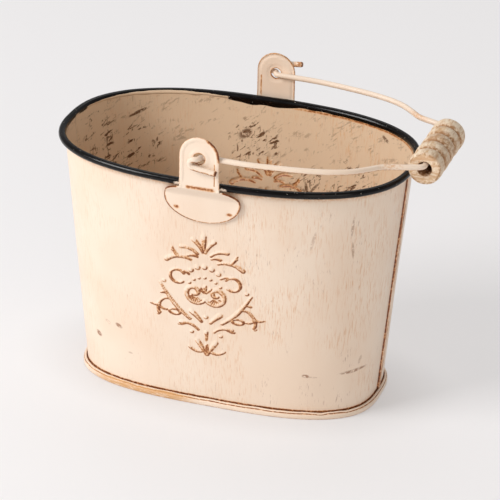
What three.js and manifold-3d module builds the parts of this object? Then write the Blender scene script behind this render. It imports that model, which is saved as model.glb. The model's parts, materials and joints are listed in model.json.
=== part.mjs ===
// Oval tin florist bucket: two embossed half walls locked together at the ends, a seamed-in
// bottom, a wire stiffened rim, two ears, and a wire bail with a turned wooden grip.
//
// Millimetres. X runs along the oval, Y across it with the front at -Y, and Z up. The origin is
// the middle of the oval on the surface that the bucket stands on.

import * as THREE from 'three';
import { mergeVertices } from 'three/addons/utils/BufferGeometryUtils.js';
import Module from 'manifold-3d';

const wasm = await Module();
wasm.setup();

// ---- sheet and gaps ----
const sheet = 0.5;                 // tin sheet of the walls and the bottom
const seatGap = 0.3;               // gap between pieces that touch

// ---- the two ovals: |x / halfLength|^power + |y / halfWidth|^power = 1 ----
const rim = { halfLength: 110, halfWidth: 68, power: 2.5 };    // centre line of the rim's bead
const foot = { halfLength: 95, halfWidth: 50.5, power: 3 };    // centre line of the foot's band
const rimHeight = 158;             // height of the rim bead's centre line
const ovalSteps = 48;              // facets once round an oval

// ---- rim: each wall's top edge is rolled outwards around a hoop of wire ----
const beadRadius = 2.3;            // outside radius of the rolled edge
const curlTurn = 300 * Math.PI / 180;   // how far round the edge is rolled
const curlSteps = 8;
const hoopButt = 0.01;             // half angle left open where the hoop's ends meet, in radians

// ---- foot: the bottom is folded around the walls' bottom flange ----
const bandRadius = 2.2;            // half width of the band that the fold makes
const bandHeight = 4.8;            // height of the band, and of the floor's top face
const bandEase = 0.4;              // bevel of the band's outer edges
const wallInset = 1;               // wall's middle inside the band's centre line

// ---- lock seams: at each end one wall's folded edge laps over the other wall's ----
const seamWidth = 4.5;             // width of the ridge that shows outside
const seamThick = 0.9;             // thickness of the lapping fold
const seamFromCurl = 3.5;          // top of the ridge below the bead's centre line
const seamFromBand = 1.2;          // bottom of the ridge above the foot band

// ---- ears ----
const earSheet = 1;
const earWidth = 25;
const earTop = 31.3;               // top of the ear above the rim bead's centre line
const earCrease = 2.5;             // crease under the tab, below the bead's centre line
const earFootTop = 9;              // where the ear lies down on the wall, below the same line
const earFootTip = 11.5;           // level of the foot's widest tips, below the same line
const earFootHalf = 24;            // half width of the foot
const earFootDrop = 15;            // foot's lower edge below its tips
const earHoleHeight = 17.8;        // bail hole above the bead's centre line
const earHoleRadius = 3.5;

// ---- bail ----
const wireRadius = 1.75;
const hookInside = 0.85;           // inside radius of the hooks' bends
const frontTail = 14;              // front hook's tail beyond its last bend
const rearTail = 19;               // rear hook's tail, cut longer
const tailSlope = -0.12;           // tail's drop for each millimetre of its length
const bailDroop = 1;               // angle of the bail below level at rest, in degrees
const gripClearOfRim = 2.2;        // least way between the level grip and the rim bead
const wireSides = 8;
const wireSteps = 160;

// ---- grip ----
const gripLength = 56;
const gripRadius = 10.5;
const gripBore = 4.45;             // radius of its bore
const grooveDepth = 1.1;
const gripEase = 0.3;              // chamfer at the mouths of the bore
const collarLength = 10.3;         // each end bead; three equal beads share the rest
const gripSides = 20;

// ---- sizes that follow ----
const wallBottom = sheet + seatGap + sheet;                  // top face of the walls' flange
const wallFaceAtFoot = sheet / 2 - wallInset;                // wall's outer face, out of each oval
const wallFaceAtRim = sheet - beadRadius;
const hoopRadius = beadRadius - sheet - seatGap;
const earFace = rim.halfWidth + beadRadius + seatGap;        // ear's inner face, from the middle
const pivotHeight = rimHeight + earHoleHeight;
const legOut = earFace - seatGap - wireRadius;               // bail's legs, from the middle
const hookBend = wireRadius + hookInside;                    // bend radius of the hooks' middle line
const gripReach = rim.halfLength + beadRadius + gripClearOfRim + gripRadius;
const gripDrop = gripBore - wireRadius - 1.5 * seatGap;      // grip's axis below the wire's
const halfTurn = Math.PI;

// ---- helpers ----

// A point on an oval, moved "out" square to it, at height z.
function ovalPoint(oval, angle, out, z) {
  const along = Math.cos(angle);
  const across = Math.sin(angle);
  const px = Math.sign(along) * Math.abs(along) ** (2 / oval.power);
  const py = Math.sign(across) * Math.abs(across) ** (2 / oval.power);
  const normal = new THREE.Vector2(
    Math.sign(px) * Math.abs(px) ** (oval.power - 1) / oval.halfLength,
    Math.sign(py) * Math.abs(py) ** (oval.power - 1) / oval.halfWidth,
  ).normalize();
  const x = oval.halfLength * px + out * normal.x;
  const y = oval.halfWidth * py + out * normal.y;
  return new THREE.Vector3(x, y, z);
}

// A point on the walls' outer face, moved "out" from it. The walls are straight from foot to rim.
function wallPoint(angle, z, out) {
  const low = ovalPoint(foot, angle, wallFaceAtFoot + out, wallBottom);
  const high = ovalPoint(rim, angle, wallFaceAtRim + out, rimHeight);
  return low.lerp(high, (z - wallBottom) / (rimHeight - wallBottom));
}

// Angles from one end to the other, both included.
function angles(from, to, steps) {
  return Array.from({ length: steps + 1 }, (_, i) => from + (to - from) * i / steps);
}

// Triangles that close a flat section loop, in the loop's own direction.
function capTriangles(loop) {
  const flat = loop.map((p) => new THREE.Vector2(Math.hypot(p.x, p.y), p.z));
  const turn = Math.sign(THREE.ShapeUtils.area(flat));
  return THREE.ShapeUtils.triangulateShape(flat, []).map(([a, b, c]) => {
    const same = Math.sign(THREE.ShapeUtils.area([flat[a], flat[b], flat[c]])) === turn;
    return same ? [a, b, c] : [a, c, b];
  });
}

// A closed body through a row of section loops: a ring, or a bar with two flat ends.
function sweep(loops, isRing) {
  const count = loops[0].length;
  const faces = [];
  const spans = isRing ? loops.length : loops.length - 1;
  for (let i = 0; i < spans; i += 1) {
    const here = i * count;
    const next = ((i + 1) % loops.length) * count;
    for (let j = 0; j < count; j += 1) {
      const k = (j + 1) % count;
      faces.push(here + j, here + k, next + k, here + j, next + k, next + j);
    }
  }
  if (!isRing) {
    const last = (loops.length - 1) * count;
    capTriangles(loops[0]).forEach(([a, b, c]) => faces.push(a, c, b));
    capTriangles(loops.at(-1)).forEach(([a, b, c]) => faces.push(last + a, last + b, last + c));
  }
  const geometry = new THREE.BufferGeometry();
  const positions = loops.flat().flatMap((p) => [p.x, p.y, p.z]);
  geometry.setAttribute('position', new THREE.Float32BufferAttribute(positions, 3));
  geometry.setIndex(signedVolume(positions, faces) < 0 ? faces.reverse() : faces);
  return geometry;
}

function signedVolume(positions, faces) {
  const corner = (i) => new THREE.Vector3().fromArray(positions, 3 * i);
  let sum = 0;
  for (let i = 0; i < faces.length; i += 3) {
    sum += corner(faces[i]).dot(corner(faces[i + 1]).cross(corner(faces[i + 2])));
  }
  return sum / 6;
}

// three.js geometry to a manifold solid, and back.
function toSolid(geometry) {
  const bare = geometry.clone();
  bare.deleteAttribute('normal');
  bare.deleteAttribute('uv');
  const merged = mergeVertices(bare, 1e-4);
  const vertProperties = new Float32Array(merged.attributes.position.array);
  const triVerts = new Uint32Array(merged.index.array);
  return new wasm.Manifold(new wasm.Mesh({ numProp: 3, vertProperties, triVerts }));
}

function toGeometry(solid) {
  const mesh = solid.getMesh();
  const geometry = new THREE.BufferGeometry();
  geometry.setAttribute('position', new THREE.BufferAttribute(mesh.vertProperties, 3));
  geometry.setIndex(new THREE.BufferAttribute(mesh.triVerts, 1));
  geometry.computeVertexNormals();
  return geometry;
}

// An outline drawn in X and Z, made solid between two values of Y.
function slabAcross(outline, fromY, toY, curveSegments = 12) {
  const geometry = new THREE.ExtrudeGeometry(outline, {
    depth: toY - fromY,
    bevelEnabled: false,
    curveSegments,
  });
  return geometry.rotateX(halfTurn / 2).translate(0, toY, 0);
}

function piece(name, geometry, material) {
  const mesh = new THREE.Mesh(geometry, material);
  mesh.name = name;
  return mesh;
}

// ---- materials ----
const creamEnamel = () => new THREE.MeshStandardMaterial({ color: 0xf3dcc2, roughness: 0.5, metalness: 0 });
const bareTin = () => new THREE.MeshStandardMaterial({ color: 0x9a9a98, roughness: 0.4, metalness: 1 });
const limedWood = () => new THREE.MeshStandardMaterial({ color: 0xdcbc92, roughness: 0.75, metalness: 0 });

// ---- walls ----

// One upright section of a half wall: flange, outer face, rolled edge and inner face.
function wallSection(angle) {
  const rolled = (radius) => angles(halfTurn, halfTurn - curlTurn, curlSteps).map((turn) => (
    ovalPoint(rim, angle, radius * Math.cos(turn), rimHeight + radius * Math.sin(turn))
  ));
  const flangeOut = bandRadius - sheet - seatGap;
  return [
    ovalPoint(foot, angle, wallFaceAtFoot - sheet, wallBottom - sheet),
    ovalPoint(foot, angle, flangeOut, wallBottom - sheet),
    ovalPoint(foot, angle, flangeOut, wallBottom),
    wallPoint(angle, wallBottom, 0),
    ...rolled(beadRadius - sheet),
    ...rolled(beadRadius).reverse(),
  ];
}

// A bar on the wall's face at the +X end, from one value of Y to another.
function seamBar(fromOut, toOut, fromY, toY) {
  const low = bandHeight + seamFromBand;
  const high = rimHeight - seamFromCurl;
  const outline = new THREE.Shape([
    [low, fromOut], [low, toOut], [high, toOut], [high, fromOut],
  ].map(([z, out]) => new THREE.Vector2(wallPoint(0, z, out).x, z)));
  return toSolid(slabAcross(outline, fromY, toY));
}

// The front half wall. Its folded edge laps over the rear wall's edge at the +X end.
function wallGeometry() {
  const seamAngle = Math.asin((seatGap / 2 / rim.halfWidth) ** (rim.power / 2));
  const stations = angles(halfTurn + seamAngle, 2 * halfTurn - seamAngle, ovalSteps / 2);
  const shell = toSolid(sweep(stations.map(wallSection), false));
  const half = seamWidth / 2;
  const fold = seamBar(seatGap, seatGap + seamThick, -half, half);
  const root = seamBar(-sheet / 2, seatGap + seamThick / 2, -half, -2 * seatGap);
  return toGeometry(shell.add(root).add(fold));
}

const frontWall = piece('front_wall', wallGeometry(), creamEnamel());
const rearWall = piece('rear_wall', wallGeometry(), creamEnamel());
rearWall.rotation.z = halfTurn;

// ---- bottom plate ----

// The fold around the walls' flange: down inside the wall, under it, up and over outside.
function bandSection(angle) {
  const inside = wallFaceAtFoot - sheet - seatGap;
  const lip = wallFaceAtFoot + 3 * seatGap;
  return [
    [inside, bandHeight],
    [inside, sheet],
    [bandRadius - sheet, sheet],
    [bandRadius - sheet, bandHeight - sheet],
    [lip, bandHeight - sheet],
    [lip, bandHeight],
    [bandRadius - bandEase, bandHeight],
    [bandRadius, bandHeight - bandEase],
    [bandRadius, bandEase],
    [bandRadius - bandEase, 0],
    [inside - sheet, 0],
    [inside - sheet, bandHeight],
  ].map(([out, z]) => ovalPoint(foot, angle, out, z));
}

function bottomGeometry() {
  const stations = angles(0, 2 * halfTurn, ovalSteps).slice(0, ovalSteps);
  const band = toSolid(sweep(stations.map(bandSection), true));
  const edge = wallFaceAtFoot - 1.5 * sheet - seatGap;
  const outline = new THREE.Shape(stations.map((angle) => {
    const point = ovalPoint(foot, angle, edge, 0);
    return new THREE.Vector2(point.x, point.y);
  }));
  const plate = new THREE.ExtrudeGeometry(outline, { depth: sheet, bevelEnabled: false });
  plate.translate(0, 0, bandHeight - sheet);
  return toGeometry(band.add(toSolid(plate)));
}

const bottomPlate = piece('bottom_plate', bottomGeometry(), creamEnamel());

// ---- hoop of wire inside the rolled rim, with its butt joint at the rear ----
function hoopGeometry() {
  const from = halfTurn / 2 + hoopButt;
  const stations = angles(from, from + 2 * (halfTurn - hoopButt), ovalSteps);
  const round = angles(0, 2 * halfTurn, wireSides).slice(0, wireSides);
  const section = (angle) => round.map((turn) => (
    ovalPoint(rim, angle, hoopRadius * Math.cos(turn), rimHeight + hoopRadius * Math.sin(turn))
  ));
  return sweep(stations.map(section), false);
}

const rimWire = piece('rim_wire', hoopGeometry(), bareTin());

// ---- ears: a tab that stands outside the rim, on a foot that lies on the wall ----
function earOutline() {
  const half = earWidth / 2;
  const shoulder = rimHeight - earCrease;
  const tip = rimHeight - earFootTip;
  const outline = new THREE.Shape();
  outline.moveTo(half, shoulder);
  outline.lineTo(half, rimHeight + earTop - half);
  outline.absarc(0, rimHeight + earTop - half, half, 0, halfTurn, false);
  outline.lineTo(-half, shoulder);
  outline.quadraticCurveTo(-earFootHalf, shoulder - 1, -earFootHalf, tip);
  outline.absellipse(0, tip, earFootHalf, earFootDrop, halfTurn, 2 * halfTurn, false, 0);
  outline.quadraticCurveTo(earFootHalf, shoulder - 1, half, shoulder);
  const hole = new THREE.Path();
  hole.absarc(0, pivotHeight, earHoleRadius, 0, 2 * halfTurn, true);
  outline.holes.push(hole);
  return outline;
}

// One upright section of the bent sheet that the ear is cut from.
function earSheetSection(angle) {
  const footTop = rimHeight - earFootTop;
  const sheetEnd = rimHeight - earFootTip - earFootDrop - 1;
  const face = (out) => {
    const low = wallPoint(angle, sheetEnd, seatGap + out);
    const bend = wallPoint(angle, footTop, seatGap + out);
    const crease = new THREE.Vector3(bend.x, -earFace - out, rimHeight - earCrease);
    const top = new THREE.Vector3(bend.x, -earFace - out, rimHeight + earTop + 1);
    return [low, bend, crease, top];
  };
  return [...face(0), ...face(earSheet).reverse()];
}

function earGeometry() {
  const share = (earFootHalf + 3) / rim.halfLength;
  const spread = Math.asin(share ** (rim.power / 2));
  const stations = angles(1.5 * halfTurn - spread, 1.5 * halfTurn + spread, 8);
  const bentSheet = toSolid(sweep(stations.map(earSheetSection), false));
  const cutter = toSolid(slabAcross(earOutline(), -earFace - 2 * earSheet, -foot.halfWidth));
  return toGeometry(bentSheet.intersect(cutter));
}

const frontEar = piece('front_ear', earGeometry(), creamEnamel());
const rearEar = piece('rear_ear', earGeometry(), creamEnamel());
rearEar.rotation.z = halfTurn;

// ---- bail, drawn level about its pivot: x away from it, y across, z above it ----

// Half of the bail's centre line, from the tip of its hook's tail to the middle of its grip, as it
// lies at the front.
function halfBailRoute(tail) {
  const plateOut = earFace + earSheet / 2;
  const tailOut = plateOut + hookBend;
  const route = [];
  const add = (x, across, z) => route.push(new THREE.Vector3(x, -across, z));
  for (const share of [1, 0.5]) {
    add(-hookBend + share * tail, tailOut, -2 * hookBend + share * tail * tailSlope);
  }
  for (const turn of angles(1.5 * halfTurn, halfTurn / 2, 6)) {
    add(-hookBend + hookBend * Math.cos(turn), tailOut, -hookBend + hookBend * Math.sin(turn));
  }
  for (const turn of angles(halfTurn / 2, 0, 3).slice(1)) {
    add(-hookBend + hookBend * Math.cos(turn), plateOut + hookBend * Math.sin(turn), 0);
  }
  const legBend = plateOut - legOut;
  for (const turn of angles(halfTurn, 1.5 * halfTurn, 3).slice(1)) {
    add(legBend + legBend * Math.cos(turn), plateOut + legBend * Math.sin(turn), 0);
  }
  // The leg: shares of the way to the grip, and of the way from the grip's end out to the ear.
  const leg = [
    [0.11, 1], [0.226, 0.995], [0.403, 0.925], [0.524, 0.85], [0.629, 0.75], [0.71, 0.615],
    [0.77, 0.45], [0.82, 0.3], [0.88, 0.22], [0.935, 0.155], [0.972, 0.1], [0.993, 0.062],
  ];
  const gripEnd = gripLength / 2;
  leg.forEach(([x, y]) => add(x * gripReach, gripEnd + y * (legOut - gripEnd), 0));
  [1.03, 0.9, 0.5].forEach((share) => add(gripReach, share * gripEnd, 0));
  return route;
}

function bailGeometry() {
  const front = halfBailRoute(frontTail);
  const rear = halfBailRoute(rearTail).map((p) => new THREE.Vector3(p.x, -p.y, -p.z)).reverse();
  const path = new THREE.CatmullRomCurve3([...front, ...rear], false, 'centripetal');
  const round = new THREE.Shape(angles(0, 2 * halfTurn, wireSides).slice(0, wireSides).map(
    (turn) => new THREE.Vector2(wireRadius * Math.cos(turn), wireRadius * Math.sin(turn)),
  ));
  return new THREE.ExtrudeGeometry(round, { steps: wireSteps, extrudePath: path, bevelEnabled: false });
}

// ---- grip: five turned beads, bored through ----
function gripGeometry() {
  const middle = (gripLength - 2 * collarLength) / 3;
  const beads = [collarLength, middle, middle, middle, collarLength];
  const profile = [];
  let start = -gripLength / 2;
  for (const length of beads) {
    for (const share of [0, 0.07, 0.25, 0.5, 0.75, 0.93]) {
      const dome = (1 - Math.abs(2 * share - 1) ** 4) ** 0.5;
      const radius = gripRadius - grooveDepth * (1 - dome);
      profile.push(new THREE.Vector2(radius, start + share * length));
    }
    start += length;
  }
  const end = gripLength / 2;
  profile.push(
    new THREE.Vector2(gripRadius - grooveDepth, end),
    new THREE.Vector2(gripBore + gripEase, end),
    new THREE.Vector2(gripBore, end - gripEase),
    new THREE.Vector2(gripBore, gripEase - end),
    new THREE.Vector2(gripBore + gripEase, -end),
    profile[0],
  );
  return new THREE.LatheGeometry(profile, gripSides);
}

const bailWire = piece('bail_wire', bailGeometry(), creamEnamel());
const bailGrip = piece('bail_grip', gripGeometry(), limedWood());
bailGrip.position.set(gripReach, 0, -gripDrop);

const bail = new THREE.Group();
bail.add(bailWire, bailGrip);
bail.position.z = pivotHeight;
bail.rotation.y = bailDroop * Math.PI / 180;

// ---- the bucket ----
const bucket = new THREE.Group();
bucket.name = 'florist_bucket';
bucket.add(frontWall, rearWall, bottomPlate, rimWire, frontEar, rearEar, bail);

export default bucket;
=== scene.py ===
# Oval tin florist bucket with embossed walls, a black rim, a wire bail and a turned wooden grip.
# Lengths are in millimetres until a piece's mesh is made, which turns them into metres.
import json
import math

import bmesh
import bpy
import numpy as np
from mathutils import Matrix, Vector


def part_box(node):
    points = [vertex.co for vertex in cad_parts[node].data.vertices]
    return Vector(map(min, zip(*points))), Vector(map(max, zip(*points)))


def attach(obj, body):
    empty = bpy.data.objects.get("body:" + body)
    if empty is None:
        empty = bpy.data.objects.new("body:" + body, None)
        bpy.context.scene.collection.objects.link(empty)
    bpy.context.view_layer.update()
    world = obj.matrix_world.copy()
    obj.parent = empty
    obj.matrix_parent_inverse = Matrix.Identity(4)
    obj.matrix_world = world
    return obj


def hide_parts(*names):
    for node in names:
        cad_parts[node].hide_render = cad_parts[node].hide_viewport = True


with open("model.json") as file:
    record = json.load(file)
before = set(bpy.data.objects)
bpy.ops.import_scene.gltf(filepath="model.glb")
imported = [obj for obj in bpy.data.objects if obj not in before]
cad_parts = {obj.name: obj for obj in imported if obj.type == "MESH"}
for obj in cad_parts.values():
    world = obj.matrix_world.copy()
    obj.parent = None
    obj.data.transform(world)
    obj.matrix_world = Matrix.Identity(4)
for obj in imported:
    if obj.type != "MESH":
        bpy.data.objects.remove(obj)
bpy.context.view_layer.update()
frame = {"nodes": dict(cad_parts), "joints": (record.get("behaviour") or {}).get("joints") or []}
MM = 0.001

# ---- camera, floor and light -----------------------------------------------------------------
# A long lens looks down on the bucket from the front, a little to its right. The bucket stands
# on a pale seamless floor, under one large soft light from the left and two weak ones.
AZIMUTH, ELEVATION, ROLL = (math.radians(a) for a in (18.466, 25.948, 1.139))
DISTANCE = 1735.93
AIM_RIGHT, AIM_UP = 9.69, 75.46
LENS, SENSOR = 196.25, 36.0

back = np.array([math.sin(AZIMUTH) * math.cos(ELEVATION),
                 -math.cos(AZIMUTH) * math.cos(ELEVATION), math.sin(ELEVATION)])
level = np.array([math.cos(AZIMUTH), math.sin(AZIMUTH), 0.0])
upright = np.cross(back, level)
right = math.cos(ROLL) * level + math.sin(ROLL) * upright
up = -math.sin(ROLL) * level + math.cos(ROLL) * upright
place = (AIM_RIGHT * right + AIM_UP * up + DISTANCE * back) * MM

camera = bpy.data.objects.new("camera", bpy.data.cameras.new("camera"))
camera.data.lens = LENS
camera.data.sensor_width = SENSOR
camera.data.clip_end = 50
matrix = np.eye(4)
matrix[:3, 0], matrix[:3, 1], matrix[:3, 2], matrix[:3, 3] = right, up, back, place
camera.matrix_world = matrix.T.tolist()
bpy.context.scene.collection.objects.link(camera)
bpy.context.scene.camera = camera
bpy.context.scene.view_settings.view_transform = "Standard"


def area_light(name, position, watts, size, colour):
    """A square soft light at a position in metres, turned to face the middle of the bucket."""
    lamp = bpy.data.lights.new(name, "AREA")
    lamp.energy, lamp.size, lamp.color = watts, size, colour
    lamp_object = bpy.data.objects.new(name, lamp)
    away = np.array(position) - np.array([0, 0, 0.08])
    across = np.cross([0, 0, 1], away)
    axes = np.array([across / np.linalg.norm(across), np.zeros(3), away / np.linalg.norm(away)])
    axes[1] = np.cross(axes[2], axes[0])
    turn = np.eye(4)
    turn[:3, :3], turn[:3, 3] = axes.T, position
    lamp_object.matrix_world = turn.T.tolist()
    bpy.context.scene.collection.objects.link(lamp_object)


area_light("key_light", (-1.25, -1.0, 1.15), 30.5, 0.9, (1.0, 0.99, 0.985))
area_light("right_fill", (1.1, -1.6, 0.8), 7.2, 1.2, (1.0, 0.91, 0.8))
area_light("top_light", (-0.2, 1.0, 1.7), 8, 1.4, (1.0, 1.0, 1.0))

world = bpy.data.worlds.new("studio")
world.use_nodes = True
world.node_tree.nodes["Background"].inputs["Color"].default_value = (0.93, 0.925, 0.93, 1)
world.node_tree.nodes["Background"].inputs["Strength"].default_value = 0.34
bpy.context.scene.world = world

FLOOR_HALF = 6.0
floor_mesh = bpy.data.meshes.new("floor")
floor_corners = [(FLOOR_HALF * x, FLOOR_HALF * y, 0) for x, y in ((-1, -1), (1, -1), (1, 1), (-1, 1))]
floor_mesh.from_pydata(floor_corners, [], [(0, 1, 2, 3)])
floor = bpy.data.objects.new("floor", floor_mesh)
bpy.context.scene.collection.objects.link(floor)
paper = bpy.data.materials.new("studio_paper")
paper.use_nodes = True
paper_shader = paper.node_tree.nodes["Principled BSDF"]
paper_shader.inputs["Base Color"].default_value = (0.46, 0.45, 0.45, 1)
paper_shader.inputs["Roughness"].default_value = 0.85
paper_shader.inputs["Emission Color"].default_value = (1.0, 0.985, 0.99, 1)
# The floor glows a little less close round the bucket, where it sees less of the room: the glow
# rises smoothly between two distances from the middle, counted in these lengths along x and y.
GLOW_LENGTHS = (0.1, 0.055, 1)
GLOW_NEAR, GLOW_CLEAR = 0.95, 1.55
GLOW_LEAST, GLOW_MOST = 0.335, 0.425
paper_nodes = paper.node_tree.nodes
floor_coords = paper_nodes.new("ShaderNodeTexCoord")
round_foot = paper_nodes.new("ShaderNodeMapping")
round_foot.vector_type = "TEXTURE"
round_foot.inputs["Scale"].default_value = GLOW_LENGTHS
reach = paper_nodes.new("ShaderNodeVectorMath")
reach.operation = "LENGTH"
glow = paper_nodes.new("ShaderNodeMapRange")
glow.interpolation_type = "SMOOTHSTEP"
glow.inputs["From Min"].default_value = GLOW_NEAR
glow.inputs["From Max"].default_value = GLOW_CLEAR
glow.inputs["To Min"].default_value = GLOW_LEAST
glow.inputs["To Max"].default_value = GLOW_MOST
for output, socket in ((floor_coords.outputs["Object"], round_foot.inputs["Vector"]),
                       (round_foot.outputs["Vector"], reach.inputs[0]),
                       (reach.outputs["Value"], glow.inputs["Value"]),
                       (glow.outputs["Result"], paper_shader.inputs["Emission Strength"])):
    paper.node_tree.links.new(output, socket)
floor_mesh.materials.append(paper)

# ---- half walls ------------------------------------------------------------------------------
# Two half shells of tin sheet, pressed with a scroll and leaf ornament that stands out in front
# and is hollow inside. Their ends lock together at the ends of the oval. Cream enamel covers
# them, and a brown glaze, wiped off the high places, stays in the pressing and in brush marks.
# Shade is painted in as well: darker brown on the lower right side of the pressing's strokes,
# and a darker cream on the inner faces.
SHEET = 0.5
BEAD_RADIUS = 2.3
BAND_RADIUS = 2.2
RIM_POWER, FOOT_POWER = 2.5, 3.0
WALL_INSET = 1.0
SEAT_GAP = 0.3
wall_low, wall_high = (np.array(corner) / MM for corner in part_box("front_wall"))
foot_low, foot_high = (np.array(corner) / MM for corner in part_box("bottom_plate"))
RIM = (wall_high[0] - BEAD_RADIUS, -wall_low[1] - BEAD_RADIUS, RIM_POWER)
FOOT = (foot_high[0] - BAND_RADIUS, foot_high[1] - BAND_RADIUS, FOOT_POWER)
RIM_Z = wall_high[2] - BEAD_RADIUS
WALL_BOTTOM = 2 * SHEET + SEAT_GAP
FACE_AT_RIM = SHEET - BEAD_RADIUS
FACE_AT_FOOT = SHEET / 2 - WALL_INSET


def oval_points(oval, angle, out):
    """Points of |x / a|^n + |y / b|^n = 1 at some angles, moved out square to the curve."""
    a, b, n = oval
    along, across = np.cos(angle), np.sin(angle)
    px = np.sign(along) * np.abs(along) ** (2 / n)
    py = np.sign(across) * np.abs(across) ** (2 / n)
    nx = np.sign(px) * np.abs(px) ** (n - 1) / a
    ny = np.sign(py) * np.abs(py) ** (n - 1) / b
    size = np.hypot(nx, ny)
    return np.stack([a * px + out * nx / size, b * py + out * ny / size], -1)


def wall_points(angle, z, out):
    """Points on the wall's outer face, moved out: straight lines from the foot's oval to the rim's."""
    low = oval_points(FOOT, angle, FACE_AT_FOOT + out)
    high = oval_points(RIM, angle, FACE_AT_RIM + out)
    share = ((z - WALL_BOTTOM) / (RIM_Z - WALL_BOTTOM))[..., None]
    xy = low + (high - low) * share
    return np.concatenate([xy, (z + 0 * out)[..., None]], -1)


def grid_faces(rows, columns, wrap_rows, wrap_columns):
    """Quads between neighbours on a grid of vertices, joined up along the sides that wrap."""
    r = np.arange(rows if wrap_rows else rows - 1)[:, None]
    c = np.arange(columns if wrap_columns else columns - 1)[None, :]
    r2, c2 = (r + 1) % rows, (c + 1) % columns
    quads = [r * columns + c, r * columns + c2, r2 * columns + c2, r2 * columns + c]
    return np.stack(quads, -1).reshape(-1, 4)


def signed_volume(points, faces):
    """Six times the volume that a closed skin of quads holds, negative if it is inside out."""
    a, b, c, d = (points[faces[:, k]] for k in range(4))
    return np.sum(a * np.cross(b, c)) + np.sum(a * np.cross(c, d))


def merge_doubles(mesh):
    """Merges points closer than two hundredths of a millimetre, which closes seams and poles."""
    loose = bmesh.new()
    loose.from_mesh(mesh)
    bmesh.ops.remove_doubles(loose, verts=loose.verts, dist=0.02 * MM)
    bmesh.ops.dissolve_degenerate(loose, edges=loose.edges, dist=0.002 * MM)
    loose.to_mesh(mesh)
    loose.free()


def new_sheet(name, points, faces, material, attributes=None):
    """A smooth mesh object from millimetre points and quads, its doubled points merged."""
    mesh = bpy.data.meshes.new(name)
    mesh.from_pydata((points.reshape(-1, 3) * MM).tolist(), [], faces.tolist())
    for key, values in (attributes or {}).items():
        layer = mesh.attributes.new(key, "FLOAT", "POINT")
        layer.data.foreach_set("value", np.ascontiguousarray(values, np.float32).ravel())
    merge_doubles(mesh)
    mesh.shade_smooth()
    mesh.materials.append(material)
    piece = bpy.data.objects.new(name, mesh)
    bpy.context.scene.collection.objects.link(piece)
    return piece


def new_piece(name, points, faces, material, attributes=None):
    """The same from a closed skin, turned so that its faces point out."""
    inside_out = signed_volume(points.reshape(-1, 3), faces) < 0
    return new_sheet(name, points, faces[:, ::-1] if inside_out else faces, material, attributes)


# The ornament's right half, about its middle: x, z of three points of a bent stroke, and its
# half width at each end. The left half mirrors it.
ORNAMENT_Z = 79.0
STROKES = [
    # bud at the top and its two leaves
    ((0, 33), (0.1, 37), (0, 42), 0.7, 1.7),
    ((0.9, 31), (2.4, 35.5), (6.6, 39.3), 0.7, 1.5),
    # two tiers of leaves
    ((4.4, 29.4), (8.6, 33.8), (14.8, 33.0), 0.8, 1.2),
    ((4.6, 27.4), (7.2, 28.6), (10.2, 27.6), 0.7, 0.9),
    # twig that forks, with a bud
    ((8.8, 24.6), (12.8, 26.4), (16.6, 25.8), 0.7, 1.2),
    ((16.6, 25.8), (19.2, 27.6), (20.8, 31.6), 1.1, 0.5),
    ((16.6, 25.8), (20.6, 25.6), (24.4, 22.4), 1.0, 1.6),
    # tail of the C scroll
    ((10.2, 14.2), (12.4, 16.2), (14.6, 15.6), 0.6, 0.9),
    # small flower in the middle
    ((0, 2.6), (0.1, 4.4), (0, 7.2), 0.5, 1.0),
    ((0.4, 2.4), (2.0, 3.4), (3.6, 5.8), 0.5, 0.9),
    # long branch that rises to the side, in two strokes
    ((10.4, -17.6), (15.8, -13.6), (20.6, -8.2), 0.9, 1.3),
    ((20.6, -8.2), (25.2, -2.4), (29.4, 4.8), 1.2, 0.6),
    ((25.4, -2.2), (27.4, -1.6), (28.8, -2.4), 0.7, 0.6),
    # side spray
    ((21.8, -6.4), (27.2, -3.8), (30.8, -10.8), 0.6, 0.9),
    ((30.6, -11.2), (33.2, -12.4), (36.2, -11.4), 1.1, 0.5),
    ((31.2, -11.8), (28.6, -14.6), (25.6, -14.0), 0.9, 0.6),
    ((31.4, -12.0), (32.0, -14.8), (30.6, -17.0), 0.7, 1.1),
    # crown of leaves and its tendrils
    ((3.0, -18.4), (5.0, -15.6), (9.2, -12.0), 0.8, 1.7),
    ((5.2, -24.6), (9.8, -19.6), (16.6, -21.2), 0.7, 1.1),
    ((12.4, -20.6), (14.6, -22.8), (17.8, -22.6), 0.6, 0.7),
    # stem and palmette
    ((0, -25.6), (0, -28.6), (0, -31.4), 1.1, 0.5),
    ((0.5, -41.6), (2.6, -37.6), (6.0, -32.4), 0.8, 1.5),
    ((0.2, -41.8), (0.5, -38.0), (0.2, -34.6), 0.9, 0.4),
    ((2.2, -39.2), (6.8, -42.0), (11.2, -38.0), 0.9, 0.8),
]
STROKE_STEPS = 12
# Its round beads: x, z and radius.
BEADS = [(0, 20.8, 1.7), (4.6, 19.9, 1.7), (8.8, 17.4, 1.6), (20.4, 29.8, 0.8), (26.6, 6.4, 1.1),
         (0, 13.2, 0.8), (3.7, 12.5, 0.8), (7.0, 10.9, 0.8), (9.9, 8.2, 0.8),
         (0, -14.6, 1.3), (9.4, -26.8, 1.1), (31.4, -18.2, 0.9)]
# How far the highest strokes stand out of the sheet.
RELIEF = 0.72
LEAST_LENGTH = 1e-6


def bent_strokes():
    """Short straight bits of every stroke: start, end, and the half width at the start."""
    share = np.linspace(0, 1, STROKE_STEPS + 1)[:, None]
    bits = []
    for start, middle, end, width_from, width_to in STROKES:
        start, middle, end = np.array(start), np.array(middle), np.array(end)
        line = start * (1 - share) ** 2 + middle * 2 * share * (1 - share) + end * share ** 2
        width = width_from + (width_to - width_from) * share
        bits.append(np.hstack([line[:-1], line[1:], width[:-1]]))
    return np.vstack(bits)


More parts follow.
